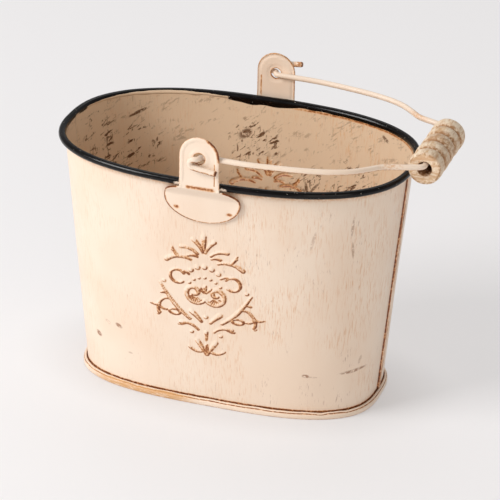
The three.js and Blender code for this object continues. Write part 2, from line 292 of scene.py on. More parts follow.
def curled_strokes():
    """The scrolls: the C scroll and the leaf loop are arcs of ellipses, the heart scroll a spiral."""
    def curl(turns, centre_x, centre_z, radius_x, radius_z, width):
        x = centre_x + radius_x * np.cos(turns)
        z = centre_z + radius_z * np.sin(turns)
        width = width * np.ones_like(x)
        return np.stack([x[:-1], z[:-1], x[1:], z[1:], width[:-1]], -1)
    share = np.linspace(0, 1, 40)
    c_turn = np.radians(145 - 275 * share)
    loop_turn = np.radians(360 * share)
    heart_turn = np.radians(206 + 420 * share)
    heart_size = 1.4 + 5.4 * (1 - share) ** 0.8
    heart_x = 6.3 + 1.7 * share
    heart_z = 0.4 + 2.0 * share
    heart_width = 0.9 + 0.5 * np.sin(math.pi * share)
    return np.vstack([
        curl(c_turn, 17.6, 11.6, 4.9, 4.6, 0.85),
        curl(loop_turn, 20.4, -14.4, 3.6, 1.8, 0.7),
        curl(heart_turn, heart_x, heart_z, heart_size, heart_size, heart_width),
    ])


def ribs():
    """Fine ribs that fan out inside the lower half of each lobe of the heart scroll."""
    turn = np.radians(np.linspace(225, 335, 8))
    inner, outer = 2.6, 5.2
    return np.stack([6.6 + inner * np.cos(turn), 0.6 + inner * np.sin(turn),
                     6.6 + outer * np.cos(turn), 0.6 + outer * np.sin(turn),
                     0.42 * np.ones(8)], -1)


def pressing(x, z):
    """Height of the pressed ornament and share of glaze kept with painted shade, at points of the wall.

    Each stroke's section is a round bump, (1 - q^2)^1.2 of its height, where q is the distance
    from its middle line over its half width. Glaze stays in a band along the stroke's edge,
    most of it on the lower right side, where the band is painted shade away from the light.
    """
    z = z - ORNAMENT_Z
    mirror = np.where(x < 0, -1.0, 1.0)
    height, glaze = np.zeros_like(x), np.zeros_like(x)
    dots = np.array([(bx, bz, bx + 0.01, bz, r) for bx, bz, r in BEADS])
    for x0, z0, x1, z1, width in np.vstack([bent_strokes(), curled_strokes(), ribs(), dots]):
        ax, az = np.abs(x) - x0, z - z0
        bx, bz = x1 - x0, z1 - z0
        near = np.clip((ax * bx + az * bz) / (bx * bx + bz * bz), 0, 1)
        dx, dz = ax - near * bx, az - near * bz
        distance = np.hypot(dx, dz) + LEAST_LENGTH
        q = distance / width
        bump = np.clip(1 - (q / 1.25) ** 2, 0, 1) ** 1.2 * min(1.0, 0.25 + 0.6 * width)
        # Painted shade: the band is strongest on each stroke's lower right side, away from the light.
        side = np.clip(0.5 + 1.1 * (0.5 * mirror * dx - 0.86 * dz) / distance, 0, 1)
        band = np.exp(-(((q - 0.9) * width - 0.05) / 0.46) ** 2) * (0.06 + side ** 1.6)
        height = np.maximum(height, bump)
        glaze = np.maximum(glaze, band * min(1.0, 0.5 + 0.6 * width))
    return height * RELIEF, np.clip(glaze, 0, 1) * np.clip(1.25 - height, 0.35, 1)


def plug(tree, socket, value):
    """Links a socket to another node's output, or sets the socket's own value."""
    if isinstance(value, bpy.types.NodeSocket):
        tree.links.new(value, socket)
    else:
        socket.default_value = value


def shade_node(tree, kind, settings=None, **sockets):
    """Adds a shader node. Sockets are named with _ for a space, and take a value or a link."""
    made = tree.nodes.new(kind)
    for key, value in (settings or {}).items():
        setattr(made, key, value)
    for key, value in sockets.items():
        plug(tree, made.inputs[key.replace("_", " ")], value)
    return made


def placed(tree, location, sizes, turn):
    """Object coordinates from a place in metres, turned and counted in sizes in millimetres."""
    coords = shade_node(tree, "ShaderNodeTexCoord").outputs["Object"]
    return shade_node(tree, "ShaderNodeMapping", {"vector_type": "TEXTURE"}, Vector=coords,
                      Scale=[size * MM for size in sizes], Rotation=turn,
                      Location=location).outputs["Vector"]


def grain(tree, sizes, detail=3.0, roughness=0.55, shift=0.0, distortion=0.0, turn=(0, 0, 0)):
    """Noise from 0 to 1 whose blotches measure about these millimetres along x, y and z, turned.
    The shift only picks another part of the noise."""
    location = (0.013 * shift, 0.017 * shift, -0.011 * shift)
    return shade_node(tree, "ShaderNodeTexNoise", Vector=placed(tree, location, sizes, turn),
                      Scale=1.0, Detail=detail, Roughness=roughness,
                      Distortion=distortion).outputs["Fac"]


def mark(tree, centre, half_size, turn_about_y=0.0, turn_about_z=0.0):
    """A soft oval spot, 1 at its middle and 0 from its edge out: one less its distance, where
    the half sizes along its own x, y and z count as one. Sizes and places are in millimetres."""
    turn = (0, math.radians(turn_about_y), math.radians(turn_about_z))
    spot = placed(tree, [value * MM for value in centre], half_size, turn)
    apart = shade_node(tree, "ShaderNodeVectorMath", {"operation": "LENGTH"}, Vector=spot)
    return arith(tree, "SUBTRACT", 1.0, apart.outputs["Value"])


def between(tree, value, low, high, to_low=0.0, to_high=1.0):
    """A smooth step: to_low where the value is under low, to_high where it is over high."""
    return shade_node(tree, "ShaderNodeMapRange", {"interpolation_type": "SMOOTHSTEP"}, Value=value,
                      From_Min=low, From_Max=high, To_Min=to_low, To_Max=to_high).outputs["Result"]


def arith(tree, operation, a, b):
    """Arithmetic on two values or links, kept from 0 to 1."""
    made = shade_node(tree, "ShaderNodeMath", {"operation": operation, "use_clamp": True})
    plug(tree, made.inputs[0], a)
    plug(tree, made.inputs[1], b)
    return made.outputs["Value"]


def product(tree, first, *others):
    """The product of several values or links, kept from 0 to 1."""
    for other in others:
        first = arith(tree, "MULTIPLY", first, other)
    return first


# A colour mix's sockets by number, since a Mix node has the same names for its other types.
MIX_SHARE, MIX_UNDER, MIX_OVER, MIX_COLOUR = 0, 6, 7, 2


def painted(tree, under, over, mask, strength=1.0):
    """The colour "over" laid on "under" where the mask is 1, thinner at a lower strength."""
    made = shade_node(tree, "ShaderNodeMix", {"data_type": "RGBA"})
    plug(tree, made.inputs[MIX_SHARE], product(tree, mask, strength) if strength < 1 else mask)
    plug(tree, made.inputs[MIX_UNDER], under)
    plug(tree, made.inputs[MIX_OVER], over)
    return made.outputs[MIX_COLOUR]


def srgb(red, green, blue):
    """A colour given as 0 to 255 screen values, as the linear values that shaders take."""
    share = np.array([red, green, blue]) / 255
    linear = np.where(share < 0.04045, share / 12.92, ((share + 0.055) / 1.055) ** 2.4)
    return (*linear.tolist(), 1.0)


def attribute(tree, name):
    """A vertex attribute of the mesh."""
    return shade_node(tree, "ShaderNodeAttribute", {"attribute_name": name}).outputs["Fac"]


def new_material(name):
    """A material with its node tree."""
    material = bpy.data.materials.new(name)
    material.use_nodes = True
    return material, material.node_tree


def finish_shader(tree, colour, roughness, bump_height=None, bump_depth=0.1):
    """Joins a colour and a roughness to the material's shader, with an optional bump in mm."""
    shader = tree.nodes["Principled BSDF"]
    tree.links.new(colour, shader.inputs["Base Color"])
    tree.links.new(roughness, shader.inputs["Roughness"])
    if bump_height is not None:
        bump = shade_node(tree, "ShaderNodeBump", Height=bump_height, Strength=1.0,
                          Distance=bump_depth * MM)
        tree.links.new(bump.outputs["Normal"], shader.inputs["Normal"])
    return shader


CREAM = srgb(240, 220, 200)
CREAM_ROSE = srgb(237, 214, 192)
# Painted shade: the inner faces take this darker copy of the cream.
SHADED_INSIDE_CREAM = srgb(222, 195, 165)
TAN = srgb(214, 156, 100)
GLAZE_AND_SHADE_BROWN = srgb(134, 68, 24)
GLAZE_AND_SHADE_DARK = srgb(84, 42, 18)
RUBBED = srgb(100, 64, 36)
RUBBED_OUTSIDE = srgb(138, 80, 34)


def cream_enamel(name, streaks=1.0, scuffs=1.0, wear_low=0.35, marks=()):
    """Cream enamel with brown glaze: in the "glaze" attribute's places, which hold painted shade too,
    in upright brush marks, thicker where "brushed" is 1, in short dashes where "scuffed" is 1, and in
    single marks. Faces where "inside" is 1 take a darker cream, painted shade."""
    material, tree = new_material(name)
    rosy = between(tree, grain(tree, (45, 45, 60), 2), 0.4, 0.65)
    inside = attribute(tree, "inside")
    colour = painted(tree, CREAM, CREAM_ROSE, rosy)
    # Painted shade: the inner faces are darkened to the inside cream.
    colour = painted(tree, colour, SHADED_INSIDE_CREAM, inside)

    brushed = between(tree, attribute(tree, "brushed"), 0.0, 1.0, 0.3, 1.0)
    bristles = between(tree, grain(tree, (0.75, 0.75, 24), 4, 0.6), 0.5, 0.66)
    strokes = between(tree, grain(tree, (30, 30, 45), 2, 0.5, 7.0), 0.36, 0.6)
    colour = painted(tree, colour, TAN, product(tree, bristles, strokes, brushed), 0.55 * streaks)
    dashes = between(tree, grain(tree, (0.9, 0.9, 6.5), 5, 0.65, 3.0), 0.57, 0.68)
    patches = between(tree, grain(tree, (16, 16, 24), 3, 0.6, 11.0), 0.5, 0.64)
    colour = painted(tree, colour, GLAZE_AND_SHADE_BROWN, product(tree, dashes, patches, brushed), 0.5 * streaks)

    slanted = between(tree, grain(tree, (6.0, 6.0, 1.5), 3, 0.6, 19.0, 0.5, (0, -0.7, 0)), 0.53, 0.6)
    upright_dashes = between(tree, grain(tree, (1.3, 1.3, 6.0), 3, 0.6, 23.0, 0.4), 0.56, 0.64)
    rubs = arith(tree, "MAXIMUM", slanted, product(tree, upright_dashes, 0.8))
    broken = between(tree, grain(tree, (11, 11, 6), 3, 0.6, 29.0, 0.0, (0, -0.6, 0)), 0.36, 0.6)
    scuffed = between(tree, product(tree, attribute(tree, "scuffed"), broken), 0.2, 0.45)
    colour = painted(tree, colour, RUBBED, product(tree, rubs, scuffed), scuffs)

    ragged = between(tree, grain(tree, (2.6, 2.6, 1.8), 5, 0.68, 31.0), 0.37, 0.52)
    for centre, half_size, turn_about_y, turn_about_z, strength in marks:
        spot = between(tree, mark(tree, centre, half_size, turn_about_y, turn_about_z), 0.0, 0.5)
        on_inside = centre[1] > 0
        face = inside if on_inside else arith(tree, "SUBTRACT", 1.0, inside)
        brown = RUBBED if on_inside else RUBBED_OUTSIDE
        colour = painted(tree, colour, brown, product(tree, spot, ragged, face), strength)

    mottle = between(tree, grain(tree, (1.6, 1.6, 1.6), 4, 0.6, 5.0), 0.3, 0.6, wear_low, 1.0)
    # The "glaze" attribute holds brown glaze and painted shade; these browns paint both.
    glaze = product(tree, attribute(tree, "glaze"), mottle)
    colour = painted(tree, colour, TAN, between(tree, glaze, 0.02, 0.4))
    colour = painted(tree, colour, GLAZE_AND_SHADE_BROWN, between(tree, glaze, 0.22, 0.62))
    colour = painted(tree, colour, GLAZE_AND_SHADE_DARK, between(tree, glaze, 0.6, 0.95))
    roughness = between(tree, grain(tree, (6, 6, 9), 3), 0.3, 0.7, 0.34, 0.52)
    orange_peel = grain(tree, (1.4, 1.4, 2.6), 3, 0.6)
    finish_shader(tree, colour, roughness, orange_peel, 0.08)
    return material


# Single marks on the walls: centre, half sizes along the mark, through the sheet and across it,
# turns about y and z in degrees, and strength.
WALL_MARKS = [
    # rubbed spots low on the left, front
    ((-76, -42, 32), (3.2, 5, 2.2), 30, -30, 0.8),
    ((-60, -49, 43.5), (3.4, 5, 1.8), 18, -15, 0.75),
    ((-68, -46, 43.5), (3.0, 5, 1.6), 25, -20, 0.3),
    ((-52, -49, 26), (2.2, 5, 0.8), 0, -12, 0.35),
    # spot and slanting scratch low on the right
    ((61.8, -47.4, 30.4), (2.8, 5, 1.6), 8, 20, 0.75),
    ((66.5, -46, 29.6), (4.5, 5, 0.7), 4, 25, 0.35),
    ((87, -31.5, 32), (12.0, 5, 1.5), -4, 49, 0.75),
    ((90, -29, 39), (1.4, 5, 4.0), 15, 50, 0.35),
    # wavy upright rubs high on the right
    ((87.7, -44.6, 134), (1.0, 6, 9), 3, 40, 0.45),
    ((88, -43, 118), (1.1, 6, 7), -5, 40, 0.5),
    ((66, -54, 126), (1.3, 6, 8), 12, 25, 0.3),
    # slanting streak and rubs on the inside
    ((-84, 47, 145.6), (9.5, 5, 1.3), -22, 36, 1.0),
    ((79, 51, 151), (4.5, 5, 1.6), 25, -35, 0.9),
    ((26, 60, 104), (1.5, 4, 7), -14, -8, 0.9),
    ((31, 60, 106), (1.2, 4, 6), 40, -8, 0.8),
    ((-17, 63.6, 135), (6.5, 5, 3.6), -35, 0, 0.9),
]
wall_enamel = cream_enamel("wall_enamel", marks=WALL_MARKS)

# The wall's grid is fine over the ornament, and beside the foot band, where a line of glaze lies.
EMBOSSED_HALF_WIDTH = 37.5
EMBOSSED_HALF_HEIGHT = 43.5
FINE_STEP = 0.5
COARSE_COLUMNS = 43
FOOT_LINE_LOW, FOOT_LINE_HIGH, FOOT_LINE_STEP = 4.5, 7.0, 0.4
BESIDE_BEAD = 4.0


def even_angles(oval, start, stop, count):
    """Angles whose points lie evenly along an oval, both ends included: the inverse of its length."""
    dense = np.linspace(start, stop, 4001)
    steps = np.diff(oval_points(oval, dense, 0.0), axis=0)
    length = np.concatenate([[0.0], np.cumsum(np.hypot(steps[:, 0], steps[:, 1]))])
    return np.interp(np.linspace(0, length[-1], count), length, dense)


def wall_columns():
    """Angles along the front half oval: close together over the ornament, wider beyond it."""
    middle = tuple((at_rim + at_foot) / 2 for at_rim, at_foot in zip(RIM, FOOT))
    fine_x = np.arange(-EMBOSSED_HALF_WIDTH, EMBOSSED_HALF_WIDTH + FINE_STEP / 2, FINE_STEP)
    shares = np.sign(fine_x) * np.abs(fine_x / middle[0]) ** (middle[2] / 2)
    fine = 2 * math.pi - np.arccos(shares)
    left = even_angles(middle, math.pi, fine[0], COARSE_COLUMNS)[:-1]
    right_side = even_angles(middle, fine[-1], 2 * math.pi, COARSE_COLUMNS)[1:]
    return np.concatenate([left, fine, right_side])


def wall_rows():
    """Heights up the wall: close together over the ornament and beside the foot band and the bead,
    wider between."""
    low, high = ORNAMENT_Z - EMBOSSED_HALF_HEIGHT, ORNAMENT_Z + EMBOSSED_HALF_HEIGHT
    in_band = np.linspace(WALL_BOTTOM - SEAT_GAP, FOOT_LINE_LOW - 0.3, 3)
    foot_line = np.arange(FOOT_LINE_LOW, FOOT_LINE_HIGH, FOOT_LINE_STEP)
    below = np.linspace(FOOT_LINE_HIGH + FOOT_LINE_STEP, low, 9)[:-1]
    ornament = np.arange(low, high, FINE_STEP)
    above = np.linspace(high, RIM_Z - BESIDE_BEAD, 11)[:-1]
    beside_bead = np.linspace(RIM_Z - BESIDE_BEAD, RIM_Z, 7)
    return np.concatenate([in_band, foot_line, below, ornament, above, beside_bead])


def dents(x, z):
    """How far the hand-finished sheet stands out, under a millimetre: long waves, a knock low on
    the right and one high on the left, all fading out towards the foot band and the bead."""
    waves = 0.22 * np.sin(x / 31 + 0.7) * np.sin(z / 37 + 0.4) + 0.12 * np.sin(x / 13 + z / 23)
    knock = -0.8 * np.exp(-((x - 74) ** 2 + (z - 20) ** 2) / 90)
    knock = knock - 0.6 * np.exp(-((x + 62) ** 2 + (z - 128) ** 2) / 160)
    edge = np.clip((z - WALL_BOTTOM) / 12, 0, 1) * np.clip((RIM_Z - BESIDE_BEAD - z) / 14, 0, 1)
    return (waves + knock) * edge


def wall_glaze_and_shade(pressed, x, z, side):
    """Brown glaze on a half wall's outer and inner face, with painted shade in the pressing's share.
    Outside: in the pressing, along the foot band, in a haze above it and under the bead. Inside: in
    the pressing, round the floor, and under the bead of the rear wall, most on the right."""
    foot_line = 0.95 * np.exp(-((z - 4.7) / 0.65) ** 2)
    haze = 0.1 * np.exp(-(z - 5.0) / 7)
    under_rim = 0.3 * np.exp(-((z - RIM_Z + 3) / 2.0) ** 2)
    under_bead = (0.12 + 0.5 * np.clip((x - 5) / 20, 0, 1)) * (side < 0)
    under_bead = under_bead * np.exp(-((z - RIM_Z + 1.9) / 0.8) ** 2)
    round_floor = 0.5 * np.exp(-((z - 5) / 3) ** 2)
    outer = np.maximum.reduce([pressed, foot_line, haze, under_rim])
    inner = np.maximum.reduce([0.8 * pressed, round_floor, under_bead])
    return outer, inner


def wall_piece(name, side):
    """One half wall: its outer face up, and its inner face back down, a sheet's thickness in. The
    rear one is the front one turned half round, so its side is -1."""
    angle, height = np.meshgrid(wall_columns(), wall_rows())
    rows, columns = angle.shape
    x = wall_points(angle, height, 0.0)[..., 0]
    relief, pressed = pressing(x, height)
    clear_of_seam = np.clip(3 * np.abs(np.sin(angle)) ** 0.8, 0, 1)
    lift = relief + dents(side * x, height) * clear_of_seam
    outer = wall_points(angle, height, lift)
    inner = wall_points(angle, height, lift - SHEET)[::-1]
    outer_glaze_and_shade, inner_glaze_and_shade = wall_glaze_and_shade(pressed, side * x, height, side)
    points = np.concatenate([outer, inner]) * [side, side, 1]
    skin = grid_faces(2 * rows, columns, True, False)
    # The two cut ends are closed by rungs between the outer face and the inner one.
    rung = np.arange(rows - 1)
    far = 2 * rows - 1 - rung
    ends = []
    for column, flip in ((0, 1), (columns - 1, -1)):
        corner = [rung * columns, (rung + 1) * columns, (far - 1) * columns, far * columns]
        ends.append(np.stack(corner, -1)[:, ::flip] + column)
    outside = np.zeros_like(angle)
    # The inner face is marked "inside", where the cream is darkened as painted shade.
    attributes = {"glaze": np.concatenate([outer_glaze_and_shade, inner_glaze_and_shade[::-1]]),
                  "scuffed": np.concatenate([outside, scuff_places(points[rows:])]),
                  "brushed": np.clip(0.35 + points[..., 0] / 90, 0.25, 1),
                  "inside": np.concatenate([outside, outside + 1])}
    return new_piece(name, points, np.vstack([skin, *ends]), wall_enamel, attributes)


# Scuffed places on the inside: x, y, z, reach and strength. The even scuffing is everywhere.
SCUFFS = [
    (-103, 23, 138, 15, 1.0), (-84, 46, 121, 19, 0.8), (-96, 33, 118, 16, 0.7), (-14, 63, 130, 15, 0.9),
    (0, 63, 130, 8, 0.9), (26, 60, 105, 13, 1.0), (57, 56, 115, 17, 0.75), (44, 58, 96, 20, 0.7),
    (30, -60, 128, 22, 0.6), (94, -20, 120, 20, 0.7), (-90, -25, 100, 24, 0.7),
]
EVEN_SCUFFING = 0.3


def scuff_places(points):
    """Where the inside is scuffed: the strongest of soft spots, each exp(-(distance / reach)^2)."""
    x, y, z = points[..., 0], points[..., 1], points[..., 2]
    total = np.full_like(x, EVEN_SCUFFING)
    for spot_x, spot_y, spot_z, reach, share in SCUFFS:
        apart = (x - spot_x) ** 2 + (y - spot_y) ** 2 + (z - spot_z) ** 2
        total = np.maximum(total, share * np.exp(-apart / reach ** 2))
    return total


for name, side, node in (("front_half_wall", 1, "front_wall"), ("rear_half_wall", -1, "rear_wall")):
    wall = wall_piece(name, side)
    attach(wall, "bucket")
    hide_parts(node)

# ---- end seams -------------------------------------------------------------------------------
# At each end of the oval one half wall's folded edge laps over the other's and is hammered flat.
# It shows outside as an upright ridge from the foot band to the bead. Glaze fills its two edges.
SEAM_HALF = 2.45
SEAM_THICK = 1.2
SEAM_LOW = 5.5
SEAM_UNDER_RIM = 2.6
SEAM_COLUMNS, SEAM_ROWS = 25, 120


def seam_piece(name, end_angle, side):
    """A ridge on the wall: its section is the flat-topped bump (1 - |s|^6)^(1/2) across its width,
    closed behind inside the sheet, with both ends drawn in to a point there."""
    s = np.linspace(-1, 1, SEAM_COLUMNS)
    z = np.linspace(SEAM_LOW, RIM_Z - SEAM_UNDER_RIM, SEAM_ROWS)
    across = np.concatenate([s, [1, -1]]) * SEAM_HALF
    top = SEAM_THICK * (1 - np.abs(s) ** 6) ** 0.5
    out = np.concatenate([top, [-SHEET / 2, -SHEET / 2]])
    hammered = 0.12 * np.sin(z[:, None] / 4.1 + across[None, :] * 0.9)
    out_all = out[None, :] + hammered * (out > 0.2)
    base = wall_points(end_angle, z[:, None], out_all)
    sway = 0.25 * np.sin(z / 23.0 + side)
    base[..., 1] = across[None, :] + sway[:, None]
    tips = [np.repeat(base[row, -1:] * [1, 0, 1], len(across), 0)[None] for row in (0, -1)]
    points = np.concatenate([tips[0], base, tips[1]])
    edge = np.exp(-((np.abs(across) / SEAM_HALF - 0.97) / 0.13) ** 2)
    worn = 0.62 + 0.2 * np.sin(z / 17.0 + 1.2) + 0.15 * np.sin(z / 6.1)
    ridge = worn[:, None] * (0.5 + 0.15 * (across > 0))[None, :] * (out > 0)
    glaze = np.maximum(edge[None, :] * 0.9, ridge)
    glaze = np.concatenate([glaze[:1], glaze, glaze[-1:]])
    return new_piece(name, points, grid_faces(len(z) + 2, len(across), False, True), wall_enamel,
                     {"glaze": glaze})


for name, end_angle, side, node in (("right_end_seam", 0.0, 1, "front_wall"),
                                    ("left_end_seam", math.pi, -1, "rear_wall")):
    seam = seam_piece(name, end_angle, side)
    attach(seam, "bucket")
    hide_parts(node)

# ---- rim bead --------------------------------------------------------------------------------
# The walls' top edge, rolled outwards around a hoop of wire and brushed with glossy black enamel.
# The black runs a little way down the inside. Cream is smeared over it beside the front ear, and
# small chips show white.
BEAD_FROM, BEAD_TO = math.radians(-120), math.radians(180)
PAINT_PROUD = 0.04
EAR_CLEAR = 13.2
BEAD_ROWS, BEAD_COLUMNS = 37, 480


def black_enamel():
    """Near-black gloss with brush ripples, a little rust and small cream chips. Cream covers it
    where "smear" is 1, and the inside's cream shows where "bare" is 1."""
    material, tree = new_material("black_enamel")
    ripples = between(tree, grain(tree, (9, 9, 2), 4), 0.45, 0.7)
    colour = painted(tree, srgb(5, 3, 3), srgb(16, 11, 13), ripples)
    rust = between(tree, grain(tree, (3.2, 3.2, 2.4), 5, 0.65, 4.0), 0.66, 0.72)
    colour = painted(tree, colour, srgb(60, 32, 20), rust, 0.5)
    chips = between(tree, grain(tree, (1.0, 1.0, 0.8), 2, 0.5, 9.0), 0.735, 0.76)
    colour = painted(tree, colour, srgb(226, 214, 200), chips)
    smear = product(tree, attribute(tree, "smear"), grain(tree, (3.0, 3.0, 2.0), 6, 0.7, 2.0))
    colour = painted(tree, colour, CREAM, between(tree, smear, 0.3, 0.5))
    # The bare places show the inside cream, darkened as painted shade.
    colour = painted(tree, colour, SHADED_INSIDE_CREAM, between(tree, attribute(tree, "bare"), 0.3, 0.6))
    roughness = between(tree, grain(tree, (7, 7, 3), 3), 0.3, 0.7, 0.14, 0.26)
    shader = finish_shader(tree, colour, roughness, grain(tree, (4, 4, 1.2), 2, 0.5, 6.0), 0.06)
    shader.inputs["Specular IOR Level"].default_value = 0.25
    return material


def bead_piece():
    """A C section carried round the rim: an outer arc, a skin of paint down the wall's inner face
    to an uneven edge, and the arc of the sheet's other face back again."""
    turn = np.linspace(BEAD_FROM, BEAD_TO, BEAD_ROWS)[:, None]
    angle = even_angles(RIM, 0, 2 * math.pi, BEAD_COLUMNS + 1)[None, :-1]
    middle = oval_points(RIM, angle[0], 0.0)
    x, y = middle[:, 0], middle[:, 1]
    ripple = 0.05 * np.sin(x / 7.0) * np.sin(y / 5.0)
    edge = 0.35 * np.sin(x / 9.0 + 1) * np.sin(x / 3.7 + y / 5.0) - 0.25 * np.sin(x / 2.1 + y / 3.3)
    # The paint's lower edge inside is uneven, and runs lower beside the rear ear and at the rear right.
    overrun = 2.7 * np.exp(-(np.abs(x + 8) / 22) ** 4) * (y > 0) * (0.85 + 0.15 * np.sin(x / 3.0))
    overrun = overrun + 0.5 * np.exp(-((x - 60) / 30) ** 4) * (y > 0)
    skin_z = (RIM_Z - 0.9 + 0.6 * edge - overrun)[None]
    outer = BEAD_RADIUS - 0.05 + ripple + 0.1 * np.clip((turn - 2.4) / 0.7, 0, 1)
    inner = np.full_like(outer, BEAD_RADIUS - SHEET)

    def arc(radius, turns):
        """The points at a radius about the bead's middle line, at some turns of its section."""
        xy = oval_points(RIM, angle, radius * np.cos(turns))
        return np.concatenate([xy, (RIM_Z + radius * np.sin(turns))[..., None]], -1)

    points = np.concatenate([arc(outer, turn), wall_points(angle, skin_z, -SHEET - PAINT_PROUD),
                             wall_points(angle, skin_z + 0.02, -SHEET / 2), arc(inner, turn[::-1])])
    # Cream is smeared beside the front ear, most on the bead's low side. The black is worn off the
    # inside of the bead, most where the paint is thin at the rear left.
    beside_ear = np.exp(-((np.abs(x) - EAR_CLEAR) / 4.2) ** 2) * (y < 0)
    low_side = np.clip(1.0 - 0.55 * np.sin(turn), 0, 1.3)
    thin_paint = np.exp(-((x + 70) / 45) ** 2) * (y > 0)
    bare = np.clip((turn - 3.7 + 1.3 * thin_paint + 0.1 * edge) / 0.1, 0, 1)
    no_paint = np.zeros_like(outer)
    smear = np.concatenate([beside_ear * low_side, no_paint[:2], no_paint])
    bare = np.concatenate([bare, bare[-1:], bare[-1:], no_paint])
    return new_piece("rim_bead", points, grid_faces(*points.shape[:2], True, True), black_enamel(),
                     {"smear": smear, "bare": bare})


bead = bead_piece()
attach(bead, "bucket")
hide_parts("front_wall", "rear_wall")

# ---- rim wire --------------------------------------------------------------------------------
# A hoop of drawn steel wire hidden in the bead, which keeps the rim stiff. It is left bare, with
# draw marks along it and a little rust.


def bare_steel():
    """Drawn steel: grey with fine darker draw marks and specks of rust."""
    material, tree = new_material("bare_steel")
    draw_marks = between(tree, grain(tree, (6, 6, 0.4), 4), 0.4, 0.7)
    colour = painted(tree, srgb(150, 148, 145), srgb(104, 101, 98), draw_marks)
    rust = between(tree, grain(tree, (2.5, 2.5, 1.5), 5, 0.6, 8.0), 0.6, 0.72)
    colour = painted(tree, colour, srgb(120, 66, 36), rust)
    roughness = between(tree, grain(tree, (3, 3, 0.5), 4), 0.3, 0.7, 0.3, 0.5)
    finish_shader(tree, colour, roughness).inputs["Metallic"].default_value = 0.9
    return material


frame["nodes"]["rim_wire"].data.materials.clear()
frame["nodes"]["rim_wire"].data.materials.append(bare_steel())

# ---- foot band and bottom --------------------------------------------------------------------
# One sheet: the floor inside the bucket, whose edge is folded down, out and up around the walls'
# flange. The fold shows outside as a band with a thin lip and a groove that holds brown glaze.
FLOOR_Z = foot_high[2]
INSIDE_WALL = FACE_AT_FOOT - SHEET
FLOOR_SHARES = np.array([0, 0.1, 0.2, 0.3, 0.4, 0.5, 0.6, 0.7, 0.8, 0.9, 0.96])
FLOOR_SAG = 0.35
FOOT_COLUMNS = 600
CRUMPLED_X, CRUMPLED_Y, CRUMPLED_REACH = 76, -38, 16
HONEY_X, HONEY_HALF = -44, 34
# The band's section from the floor's edge outwards and down: how far out, and how far below the
# floor. Then its lower part round under the flange: how far out, and how high above the ground.
BAND_TOP = [
    (INSIDE_WALL - 0.15, 0), (INSIDE_WALL - 0.05, 0.6), (-0.5, 0.8), (0.0, 0.75), (0.3, 0.3),
    (0.62, 0.04), (1.0, 0), (1.35, 0.12), (1.55, 0.45), (1.5, 0.8), (1.55, 1.05), (1.85, 1.3),
    (2.1, 1.75), (BAND_RADIUS, 2.4),
]
BAND_SOLE = [
    (BAND_RADIUS, 1.5), (2.12, 0.8), (1.85, 0.25), (1.4, 0.0), (0.5, 0.0), (-0.8, 0.0), (-1.7, 0.0),
    (-2.0, 0.2), (-2.1, 0.6), (-2.1, FLOOR_Z - SHEET - 0.3),
]


def foot_piece():
    """A closed section carried round the foot, its ends drawn in to the oval's middle: x and y are
    a share of the oval's points, moved out, and z is a height, all waved a little round the band."""
    floor_edge = INSIDE_WALL - SEAT_GAP
    top_rows = [(share, floor_edge, FLOOR_Z - FLOOR_SAG * (1 - share ** 2)) for share in FLOOR_SHARES]
    band_rows = [(1.0, out, FLOOR_Z - drop) for out, drop in BAND_TOP]
    sole_rows = [(1.0, out, z) for out, z in BAND_SOLE]
    under_rows = [(share, out, z - SHEET) for share, out, z in top_rows[::-1]]
    table = np.array(top_rows + band_rows + sole_rows + under_rows)
    share, out, z = (table[:, k, None] for k in range(3))
    angle = even_angles(FOOT, 0, 2 * math.pi, FOOT_COLUMNS + 1)[None, :-1]
    middle = oval_points(FOOT, angle[0], 0.0)
    x, y = middle[:, 0], middle[:, 1]
    # The lip is waved all round, and crumpled at the front right corner. The floor is dented.
    on_lip = np.exp(-((out - 1.1) / 0.8) ** 2) * (z > FLOOR_Z - 1.4) * (share == 1)
    wave = 0.14 * np.sin(x / 4.7 + y / 6.0) + 0.1 * np.sin(x / 2.3 - y / 3.1)
    corner = np.exp(-((x - CRUMPLED_X) ** 2 + (y - CRUMPLED_Y) ** 2) / CRUMPLED_REACH ** 2)
    crumple = corner * (0.5 * np.sin(x / 2.6) + 0.25 * np.sin(x / 1.1))
    out_all = out + on_lip * (0.5 * wave + 0.5 * crumple) - 0.25 * corner * (share == 1) * (out > 1)
    z_all = z - on_lip * np.clip(0.25 + wave + 0.7 * crumple, 0, 1)
    floor_dent = 0.3 * np.sin(share * x / 19) * np.sin(share * y / 15) * (share < 0.97)
    z_all = z_all + floor_dent * (z > 3)
    xy = share[..., None] * oval_points(FOOT, angle, out_all)
    points = np.concatenate([xy, z_all[..., None]], -1)
    # Glaze in the groove behind the lip, in the fold under it, along the sole and round the floor.
    groove = np.exp(-((z - FLOOR_Z + 0.75) / 0.3) ** 2) * (out > -0.6) * (out < 0.5) * (share == 1)
    second = np.exp(-((z - FLOOR_Z + 0.95) / 0.3) ** 2) * (out > 1.2) * (share == 1)
    sole = np.exp(-((z - 0.1) / 0.45) ** 2) * (out > 1) * (share == 1)
    inside = 0.35 * (share > 0.93) * (z > 3) * (out < -0.5)
    glaze = np.maximum.reduce([groove, 0.85 * second, 0.55 * sole, inside]) + 0 * x
    honey = np.exp(-((x - HONEY_X) / HONEY_HALF) ** 6) * (y < 0) * (out > 1.2) + 0 * z
    scuffed = 0.5 * (share < 1) + 0 * x
    # The floor's upper face is marked as inside, so it takes the darker cream of painted shade.
    inside_floor = (share < 1) * (z > FLOOR_Z - SHEET) + 0 * x
    return new_piece("foot_and_floor", points, grid_faces(*out_all.shape, False, True), foot_enamel(),
                     {"glaze": glaze, "honey": honey, "scuffed": scuffed, "inside": inside_floor})


